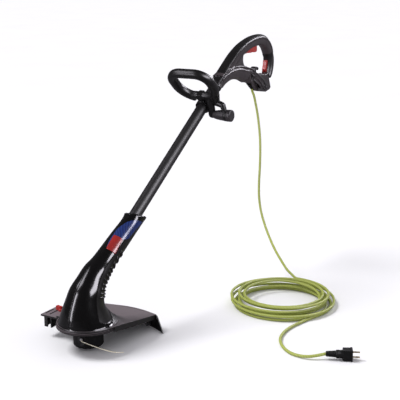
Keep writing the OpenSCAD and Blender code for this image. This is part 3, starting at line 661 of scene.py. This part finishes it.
def coil_points():
    """The cord's turns on the floor: four loose layers, wound in and out, from the top down."""
    layers = len(COIL_RADII) - 1
    inner, outer = min(COIL_RADII), max(COIL_RADII)
    steps_per_turn = 36
    turns = (COIL_START - COIL_END) / 360
    count = round(turns * steps_per_turn)
    widths = [TURNS_PER_LAYER] * (layers - 1) + [turns - TURNS_PER_LAYER * (layers - 1)]

    def raw(t):
        t = min(max(t, 0), turns)
        k, at = 0, 0
        while k < layers - 1 and t > at + widths[k]:
            at += widths[k]
            k += 1
        f = (t - at) / widths[k]
        return mix(COIL_RADII[k], COIL_RADII[k + 1], f), CORD_D / 2 + LAYER_UP * (layers - 1 - k)

    def averaged(t, half, index):
        samples = [raw(t + half * j / 8)[index] for j in range(-8, 9)]
        return sum(samples) / len(samples)

    right = Vector((0.506, -0.862, 0))
    nearer = Vector((-0.862, -0.506, 0))
    points = []
    for i in range(count + 1):
        t = turns * i / count
        angle = mix(COIL_START, COIL_END, i / count)
        calm = min(1, t / 0.3, (turns - t) / 0.3)
        r = averaged(t, 0.16, 0) + calm * (4.0 * math.sin(4.6 * t + 1) + 2.4 * math.sin(9.4 * t))
        z = averaged(t, 0.13 * calm, 1) + calm * 1.2 * math.sin(7.3 * t) * (t < turns - 1.6)
        z = max(z, CORD_D / 2)
        shift = 13 * (outer - r) / (outer - inner) * calm
        spread = calm * 15 * max(0, 1 - abs(t - turns + 1.0) / 0.9)
        points.append(Vector((COIL_C[0] + r * cosd(angle), COIL_C[1] + r * sind(angle), z))
                      + right * shift + nearer * spread)
    return points


def make_cord():
    """One cord from the connector down to the coil, round it and out to the plug."""
    drop = smooth_path(DROP_ROUTE, 4)
    coil = coil_points()
    into = smooth_path([DROP_ROUTE[-2], DROP_ROUTE[-1], coil[0], coil[1]], 4)
    tail = smooth_path([coil[-2], coil[-1]] + TAIL_ROUTE, 4)
    path = drop[:-1] + into[4:8] + coil[:-1] + tail[4:]
    cord = tube("cord", path, CORD_D / 2, 14, sharp=0)
    finish_piece(cord, CORD, "root", ("cord_drop", "cord_coil", "cord_tail"))
    connector_relief = make_relief("connector_cuff", cuff_place(), 23, 12.6, 4.8)
    finish_piece(connector_relief, PLUG, "root", ("connector_relief",))
    plug_relief = make_relief("plug_cuff", plug_place(24, 180), 24, 9.0, 7.0)
    finish_piece(plug_relief, PLUG, "root", ("plug_relief",))


def cuff_place():
    turn = Matrix.Rotation(math.radians(INLET_TILT), 4, "Y")
    return Matrix.Translation(Vector(INLET_AT)) @ turn @ Matrix.Translation((0, 0, 29))


def plug_place(along, turn=0):
    """Local Z along the plug, from the cord towards the blades, or back again."""
    spin = Matrix.Rotation(math.radians(PLUG_TURN), 4, "Z")
    lay = Matrix.Rotation(math.radians(90), 4, "Y")
    back = Matrix.Rotation(math.radians(turn), 4, "X")
    return (Matrix.Translation(Vector(TAIL_ROUTE[-1])) @ spin
            @ Matrix.Translation((along, 0, 0)) @ lay @ back)


def make_relief(name, place, length, wide, narrow):
    """Tapered strain relief with rings of ribs."""
    ribs = 5
    profile = [(wide, 0)]
    for i in range(ribs):
        for f, deep in ((0.15, 0), (0.3, 1.1), (0.62, 1.1), (0.78, 0)):
            along = (i + f) / ribs
            profile.append((mix(wide, narrow, along) - deep, length * along))
    profile += [(narrow, length * 0.985), (narrow - 0.5, length)]
    return lathe(name, profile, place, 32)


# ---------------------------------------------------------------- motor housing


def housing_ring(f):
    """Centre x, centre z, tilt and half widths at a fraction of the rings, smoothly between."""
    n = len(HOUSING_RINGS)
    x = min(max(f, 0), n - 1.0001)
    i = int(x)
    t = x - i
    a, b, c, d = (HOUSING_RINGS[min(max(i + k, 0), n - 1)] for k in (-1, 0, 1, 2))
    return [0.5 * (2 * q + t * (r - p) + t * t * (2 * p - 5 * q + 4 * r - s)
                   + t ** 3 * (3 * q - p - 3 * r + s)) for p, q, r, s in zip(a, b, c, d)]


def on_housing(f, angle, lift=0):
    """A point on the housing: f along the rings, angle from the operator's edge towards +Y."""
    x, z, tilt, half, half_y = housing_ring(f)
    across = (half + lift) * cosd(angle)
    return Vector((x + across * cosd(tilt), (half_y + lift) * sind(angle),
                   z - across * sind(tilt)))


PANEL_EDGE = [(1.1, 0), (1.2, 60), (1.45, 98), (2.4, 109), (3.8, 105), (5.1, 105), (6.2, 111),
              (7, 113), (7.9, 117), (8.9, 119), (9.6, 114), (10.5, 112), (11.8, 107), (13, 98)]


def panel_edge(f):
    """Half angle of the duller panel that carries the vents, on the operator's edge."""
    return look_up(PANEL_EDGE, f)


def make_housing(side):
    """One half of the housing, with a stepped panel line and a rolled mouth."""
    n = len(HOUSING_RINGS) - 1
    rows = 110
    rings = []
    for i in range(rows + 1):
        f = n * i / rows
        edge = panel_edge(f)
        angles = [2 * k for k in range(91)]
        ring = []
        for a in angles:
            depth = 0
            if edge > 4:
                depth = -0.9 / (1 + math.exp((a - edge) * 1.4))
            rim = 1.3 * math.exp(-((f - 0.45) / 0.16) ** 2)
            mouth = 1.1 * math.exp(-((f - n + 0.22) / 0.16) ** 2)
            ring.append(on_housing(f, side * a, depth + rim + mouth))
        rings.append(ring)
    lip = [on_housing(n, side * a, -3) for a in angles]
    deep = [on_housing(n - 1.2, side * a, -3) for a in angles]
    rings += [[p + Vector((1.2, 0, 0.9)) for p in lip], deep]
    bm = bmesh.new()
    grid = [[bm.verts.new(p / 1000) for p in ring] for ring in rings]
    uv = bm.loops.layers.uv.new("UVMap")
    faces_panel = []
    for i in range(len(grid) - 1):
        for k in range(len(grid[0]) - 1):
            face = bm.faces.new((grid[i][k], grid[i][k + 1], grid[i + 1][k + 1], grid[i + 1][k]))
            for loop, spot in zip(face.loops, ((i, k), (i, k + 1), (i + 1, k + 1), (i + 1, k))):
                loop[uv].uv = (spot[0] / rows, spot[1] / 91)
            f = n * (i + 0.5) / rows
            if i < rows and 2 * k + 1 < panel_edge(f):
                faces_panel.append(face)
    for face in faces_panel:
        face.material_index = 1
    bmesh.ops.recalc_face_normals(bm, faces=bm.faces)
    name = "motor_housing_left" if side < 0 else "motor_housing_right"
    obj = mesh_object(name, bm, 50)
    shell = obj.modifiers.new("wall", "SOLIDIFY")
    shell.thickness = 0.0015
    shell.offset = -1
    node = "housing_left" if side < 0 else "housing_right"
    finish_piece(obj, GLOSS, "root", (node,))
    obj.data.materials.append(PANEL)


def patch(name, outline_at, rows, columns, lift):
    """Film on the housing: outline_at(u) gives f and the two edge angles at a fraction u."""
    rings = []
    for i in range(rows + 1):
        f, a0, a1 = outline_at(i / rows)
        rings.append([on_housing(f, mix(a0, a1, k / columns), lift) for k in range(columns + 1)])
    bm = bmesh.new()
    grid = [[bm.verts.new(p / 1000) for p in ring] for ring in rings]
    uv = bm.loops.layers.uv.new("UVMap")
    for i in range(rows):
        for k in range(columns):
            face = bm.faces.new((grid[i][k], grid[i][k + 1], grid[i + 1][k + 1], grid[i + 1][k]))
            for loop, (a, b) in zip(face.loops, ((i, k), (i, k + 1), (i + 1, k + 1), (i + 1, k))):
                loop[uv].uv = (a / rows, b / columns)
    bmesh.ops.recalc_face_normals(bm, faces=bm.faces)
    obj = mesh_object(name, bm, 0)
    film = obj.modifiers.new("film", "SOLIDIFY")
    film.thickness = 0.0003
    film.offset = 1
    return obj


def make_decals():
    """A plain blue leaf shape and a blank red badge, with no lettering."""

    leaf_left = [(9.85, -172), (10.3, -184), (10.65, -187), (11.1, -188), (11.4, -178),
                 (11.7, -164), (12.0, -142), (12.23, -124), (12.4, -92)]
    leaf_right = [(9.85, -168), (10.3, -150), (10.65, -126), (10.8, -112), (11.0, -99),
                  (11.4, -95), (11.8, -90), (12.1, -82), (12.4, -80)]

    def leaf(u):
        f = mix(9.85, 12.4, u)
        return f, look_up(leaf_left, f), look_up(leaf_right, f)

    finish_piece(patch("blue_decal", leaf, 44, 24, 0.2), BLUE, "root")

    def badge(u):
        f = mix(9.72, 10.7, u)
        edge = min(u, 1 - u) / 0.14
        trim = 1 if edge >= 1 else math.sqrt(max(1 - (1 - edge) ** 2, 0)) * 0.12 + 0.88
        middle = mix(-142, -152.5, u)
        return f, middle - 27.5 * trim, middle + 27.5 * trim

    finish_piece(patch("red_badge", badge, 28, 16, 0.6), BADGE, "root")


def make_vents():
    """Two rows of raised louvres with dark gaps, along the operator's edge."""
    for side in (-1, 1):
        pieces = []
        for i in range(11):
            f = 5.55 + 0.46 * i
            rings = []
            for j in range(9):
                a = mix(50, 96, j / 8)
                tall = 1.9 * math.sin(math.pi * mix(0.12, 0.88, j / 8)) ** 0.5
                low = on_housing(f - 0.1, side * a, -0.8)
                high = on_housing(f + 0.14, side * a, -0.8)
                crest = on_housing(f - 0.07, side * a, tall)
                brow = on_housing(f + 0.04, side * a, tall)
                rings.append([low, crest, brow, high])
            piece = skin("louvre", rings, sharp=30)
            add_bevel(piece, 0.5, 2, 30)
            pieces.append(piece)
        label = "left" if side < 0 else "right"
        finish_piece(join("louvres_" + label, pieces), PANEL, "root")


# ---------------------------------------------------------------- guard


def flare_radius(z, a):
    """Distance of the housing's lower flare from the spool axis at a height and direction."""
    f = look_up([(66, 0), (74, 1), (84, 2), (97, 3), (112, 4)], z)
    x, _, _, half, _ = housing_ring(f)
    return x * cosd(a) + math.sqrt(half ** 2 - (x * sind(a)) ** 2)


def make_guard_fillet():
    """The moulded sweep that carries the guard's plate up round the foot of the housing."""
    rows, columns = 14, 72
    slope = math.tan(math.radians(9.2))
    rings = []
    for i in range(columns + 1):
        a = mix(-100, 100, i / columns)
        rise = min(max((98 - abs(a)) / 62, 0), 1)
        rise = rise * rise * (3 - 2 * rise)
        top_z = 68 + 27 * rise
        inner = flare_radius(top_z, a) + 0.5
        outer = 79.5 + 38 * rise
        ring = [Vector(((inner - 4) * cosd(a), (inner - 4) * sind(a), top_z - 1))]
        for j in range(rows + 1):
            t = j / rows
            r = mix(inner, outer, t)
            x, y = r * cosd(a), max(min(r * sind(a), 80.6), -80.6)
            plate_z = 69 - slope * max(x, 0) + 0.1
            ring.append(Vector((x, y, mix(top_z, plate_z, 1 - (1 - t) ** 2.7))))
        ring.append(Vector((ring[-1].x, ring[-1].y, ring[-1].z - 2)))
        ring.append(Vector(((inner - 4) * cosd(a), (inner - 4) * sind(a), 60)))
        rings.append(ring)
    return finish_piece(skin("guard_sweep", rings, sharp=50), GUARD, "root")


# ---------------------------------------------------------------- assist handle


def loop_place():
    turn = Matrix.Rotation(math.radians(-90 - ASSIST_TILT), 4, "Y")
    return shaft_place(BOLT_S, BOLT_UP) @ turn


def capsule(name, p, q, r_p, r_q, sides=20):
    """Rounded strut between two points."""
    p, q = Vector(p), Vector(q)
    heading = (q - p).normalized()
    path = [p - heading * r_p * cosd(a) for a in (0, 25, 50, 70)]
    sizes = [r_p * max(sind(a), 0.05) for a in (0, 25, 50, 70)]
    path += [p, q]
    sizes += [r_p, r_q]
    path += [q + heading * r_q * sind(a) for a in (20, 40, 65, 90)]
    sizes += [r_q * max(cosd(a), 0.05) for a in (20, 40, 65, 90)]
    side = heading.orthogonal().normalized()
    up = heading.cross(side)
    rings = [[c + s * (cosd(360 * k / sides) * side + sind(360 * k / sides) * up)
              for k in range(sides)] for c, s in zip(path, sizes)]
    return skin(name, rings, sharp=60)


def make_assist_handle():
    corner = 38
    side_y = ASSIST_HALF - corner
    bow = (0, ASSIST_HALF - 10)
    outline = ([(20, -5), (25, -4.2)] + arc(bow, ASSIST_HALF, -58, 0, 16)[:-1]
               + arc((side_y, ASSIST_RISE - corner), corner, 0, 90, 12)
               + arc((-side_y, ASSIST_RISE - corner), corner, 90, 180, 12)
               + arc(bow, ASSIST_HALF, 180, 220, 14)[1:])
    place = loop_place()
    path = [place @ Vector((0, y, z)) for y, z in outline]
    normal = (place.to_3x3() @ Vector((1, 0, 0))).normalized()
    rings = []
    sides = 28
    for point, (_, u, v) in zip(path, path_frames(path, normal)):
        ring = []
        for k in range(sides):
            a = 360 * k / sides
            thick = 13 * abs(cosd(a)) ** 0.85 * math.copysign(1, cosd(a))
            broad = 12.6 * abs(sind(a)) ** 0.85 * math.copysign(1, sind(a))
            ring.append(point + thick * u + broad * v)
        rings.append(ring)
    parts = [skin("bar", rings, sharp=50)]
    turn_out = Matrix.Rotation(math.radians(90), 4, "X")
    turn_in = Matrix.Rotation(math.radians(-90), 4, "X")
    boss = [(0, 0), (12.4, 0), (12.4, 27), (11.8, 28), (10.8, 28), (10.3, 27.2), (10.2, 24.2),
            (0, 24.1)]
    parts.append(lathe("boss", boss, shaft_place(BOLT_S, BOLT_UP, -8.4, turn_out)))
    far = [(0, 0), (12.4, 0), (12.4, 22), (11.4, 24), (9.8, 24), (9.6, 12.2), (0, 12.1)]
    parts.append(lathe("far_boss", far, shaft_place(BOLT_S, BOLT_UP, 8.4, turn_in)))
    hub = tube_point(BOLT_S, BOLT_UP, -27)
    hub_inner = tube_point(BOLT_S, BOLT_UP, -25)
    cross = tube_point(BOLT_S + CROSS_S, BOLT_UP + CROSS_UP, -28)
    near_leg = place @ Vector((0, -50, 10))
    knot = tube_point(BOLT_S - 3, BOLT_UP - 20, -45)
    elbow = tube_point(BOLT_S - 7, BOLT_UP - 24, -65)
    grip_end = tube_point(BOLT_S + CROSS_S, BOLT_UP + CROSS_UP + 8, -72)
    parts.append(capsule("arm", hub, cross, 11, 10.5))
    parts.append(capsule("leg_web", near_leg, knot, 12, 9.5))
    parts.append(capsule("hub_web", hub_inner, knot, 10, 9))
    parts.append(capsule("strut", knot, elbow, 9.5, 8.5))
    parts.append(capsule("strut_end", elbow, grip_end, 8.5, 7))
    spindle = [(0, 0), (8, 0), (8, 60), (0, 60)]
    spot = shaft_place(BOLT_S + CROSS_S, BOLT_UP + CROSS_UP, -23.4, turn_out)
    parts.append(lathe("spindle", spindle, spot))
    ring = [(8, 46.6), (16, 46.6), (16.5, 47.4), (16.5, 54.8), (16, 55.6), (8, 55.6)]
    parts.append(lathe("ring", ring, spot))
    finish_piece(join("assist_loop", parts), SATIN, "assist", ("assist_handle",))


# ---------------------------------------------------------------- rear handle

GRIP_TURN = 90 - LEAN
BEND_FROM = (GRIP_START * sind(LEAN), AXIS_Z + GRIP_START * cosd(LEAN))
BEND_C = (BEND_FROM[0] + GRIP_BEND_R * sind(GRIP_TURN),
          BEND_FROM[1] - GRIP_BEND_R * cosd(GRIP_TURN))
LOOP_C = (BEND_C[0], BEND_C[1] + GRIP_BEND_R - LOOP_R)


def ease(t):
    t = min(max(t, 0), 1)
    return t * t * (3 - 2 * t)


def grip_section(f):
    """One side of the grip in section: outward distance and half thickness. A bead runs from the
    shoulder near the sleeve down to the middle of the side at the top of the handle, and to the
    inner corner on the way down its rear end."""
    w, v = ease((f - 0.15) / 0.5), ease((f - 0.72) / 0.1)
    n, y = mix(mix(11, 6.5, w), -1, v), mix(mix(14.8, 16.2, w), 15.2, v)
    low = mix(-2, -6, v)
    side = mix(16.7, 15.8, ease((f - 0.12) / 0.08))
    return [(17, 0), (mix(16.9, 16.6, v), mix(4.5, 8, v)),
            (mix(mix(16.4, 15.2, w), 13, v), mix(mix(9, 10, w), 14, v)), (n + 4.6, y - 3.1),
            (n + 3.3, y - 0.9), (n + 1.7, y + 0.8), (n, y + 1.5), (n - 1.6, y + 1.2),
            (n - 2.9, y - 0.2), (low, mix(side, 13.6, v)), (-9, mix(side - 0.6, 12.2, v)),
            (-13.6, mix(12.6, 10, v)), (-16.3, mix(7.5, 6, v)), (-17, 0)]


# Lower member in section: share of its half depth, and half thickness. It has two beads with a
# channel between them.
LOWER_SECTION = [(1, 0), (0.99, 5), (0.965, 9.5), (0.92, 13.2), (0.87, 15.9), (0.82, 17.2),
                 (0.77, 17.3), (0.73, 16.4), (0.7, 14.8), (0.62, 14), (0.54, 14), (0.48, 14.8),
                 (0.43, 16.3), (0.38, 17.2), (0.33, 17.2), (0.29, 16.4), (0.24, 15.8), (0, 15.6),
                 (-0.35, 14.8), (-0.65, 12.2), (-0.88, 7.5), (-1, 0)]
LOW_EDGE = [(798, 577.5), (808, 580), (816, 582.5), (824, 582), (831, 578), (837, 573), (843, 568),
            (849, 562), (855, 556), (861, 550), (867, 546), (875, 542), (883, 540)]
FOOT = [(814, 596), (829, 572), (835, 559), (852, 543.5), (931, 530.5), (958, 535), (966.5, 542),
        (961, 556), (954, 571), (945, 588), (923, 586.5), (891, 591), (866, 597), (840, 602)]


def banded(name, path, section, half=None, dark=0):
    """Sweeps a mirrored section along an XZ path, with its outward side on the left of it.
    section is a list or a function of the fraction of the path, and half scales it outward."""
    rings = []
    for i, (x, z) in enumerate(path):
        f = i / (len(path) - 1)
        shape = section(f) if callable(section) else section
        ax, az = path[max(i - 1, 0)]
        bx, bz = path[min(i + 1, len(path) - 1)]
        heading = Vector((bx - ax, 0, bz - az)).normalized()
        out = Vector((-heading.z, 0, heading.x))
        k = half[i] if half else 1
        both = [(n, -y) for n, y in shape] + [(n, y) for n, y in reversed(shape[1:-1])]
        rings.append([Vector((x, y, z)) + out * n * k for n, y in both])
    obj = skin(name, rings, sharp=70)
    count = len(rings[0])
    for face in obj.data.polygons:
        k = face.index % count
        k = min(k, count - 1 - k)
        f = face.index / count / (len(path) - 1)
        if dark == 0 or (k >= dark and f < 0.74) or (dark <= k < 8 and f >= 0.74):
            face.material_index = 1
    return obj


def grip_path():
    start = (SLEEVE_START * sind(LEAN), AXIS_Z + SLEEVE_START * cosd(LEAN))
    return ([(mix(start[0], BEND_FROM[0], i / 10), mix(start[1], BEND_FROM[1], i / 10))
             for i in range(10)]
            + arc(BEND_C, GRIP_BEND_R, 90 + GRIP_TURN, 90, 22)[:-1]
            + arc(LOOP_C, LOOP_R, 90, -40, 34))


def make_rear_handle():
    def joint(f):
        shape = grip_section(f)
        swell = 1 + 0.045 * math.exp(-((f - 0.757) / 0.006) ** 2)
        taper = 1 - 0.3 * max(0, (f - 0.94) / 0.06) ** 2
        return [(n * swell * taper, y * min(swell, 1.02)) for n, y in shape]

    steps = 30
    top = arc(LOWER_TOP_C, LOWER_TOP_R, 112, 76, steps) + arc(LOWER_TOP_C, LOWER_TOP_R, 74, 50, 12)
    low = arc(LOWER_LOW_C, LOWER_LOW_R, 123, 63, steps) + LOW_EDGE
    middle = [((a[0] + b[0]) / 2, (a[1] + b[1]) / 2) for a, b in zip(top, low)]
    depth = [math.dist(a, b) / 2 for a, b in zip(top, low)]
    for side in (-1, 1):
        parts = [banded("grip", grip_path(), joint, dark=6),
                 banded("lower", middle, LOWER_SECTION, depth)]
        parts.append(plate("foot", FOOT, -15.4, 15.4, 2.2, 3))
        parts.append(plate("web", web_outline(), -13.3, 13.3, 0.8, 2))
        sleeve = [(TUBE_R + 0.2, 0), (17, 0), (17.3, 0.6), (17.3, 5), (16.2, 6)]
        parts.append(lathe("sleeve", sleeve, shaft_place(SLEEVE_START - 2)))
        for line in ([(826, 598), (848, 588), (879, 571), (902, 555), (921, 537)],
                     [(831, 585), (855, 569), (877, 541)],
                     [(846, 600), (880, 588), (912, 568), (938, 540)]):
            for y in (-15.6, 15.6):
                route = smooth_path([Vector((x, y, z)) for x, z in line], 5)
                parts.append(tube("foot_rib", route, 0.9, 8))
        for part in parts[2:4]:
            for face in part.data.polygons:
                face.material_index = 1
        whole = join("rear_handle_left" if side < 0 else "rear_handle_right", parts)
        open_bay(whole)
        keep_side(whole, side)
        node = "handle_left" if side < 0 else "handle_right"
        finish_piece(whole, SATIN, "root", (node,))
        whole.data.materials.append(WEB)


def open_bay(obj):
    """Clears the space round the inlet, open on the far side of the near cheek."""
    bm = bmesh.new()
    bmesh.ops.create_cube(bm, size=1)
    turn = Matrix.Translation(Vector(INLET_AT)) @ Matrix.Rotation(math.radians(INLET_TILT), 4, "Y")
    inside = Matrix.Translation((8, 5.4, 53)) @ Matrix.Diagonal((70, 39.2, 70, 1))
    bm.transform(Matrix.Scale(0.001, 4) @ turn @ inside)
    tool = mesh_object("bay", bm, 0)
    carve = obj.modifiers.new("bay", "BOOLEAN")
    carve.operation = "DIFFERENCE"
    carve.solver = "EXACT"
    carve.use_self = True
    carve.object = tool
    apply_modifiers(obj)
    bpy.data.objects.remove(tool)


def web_outline():
    return ([(668, 596), (722, 632), (770, 656), (797, 668)]
            + arc((803, 645), 25, 100, 255, 14)
            + [(790, 612), (770, 615), (700, 600)])


# ---------------------------------------------------------------- build

make_camera()
make_cord()
make_floor()
make_studio()
dress_cad()
for half in (-1, 1):
    make_housing(half)
make_decals()
make_vents()
make_guard_fillet()
make_assist_handle()
make_rear_handle()
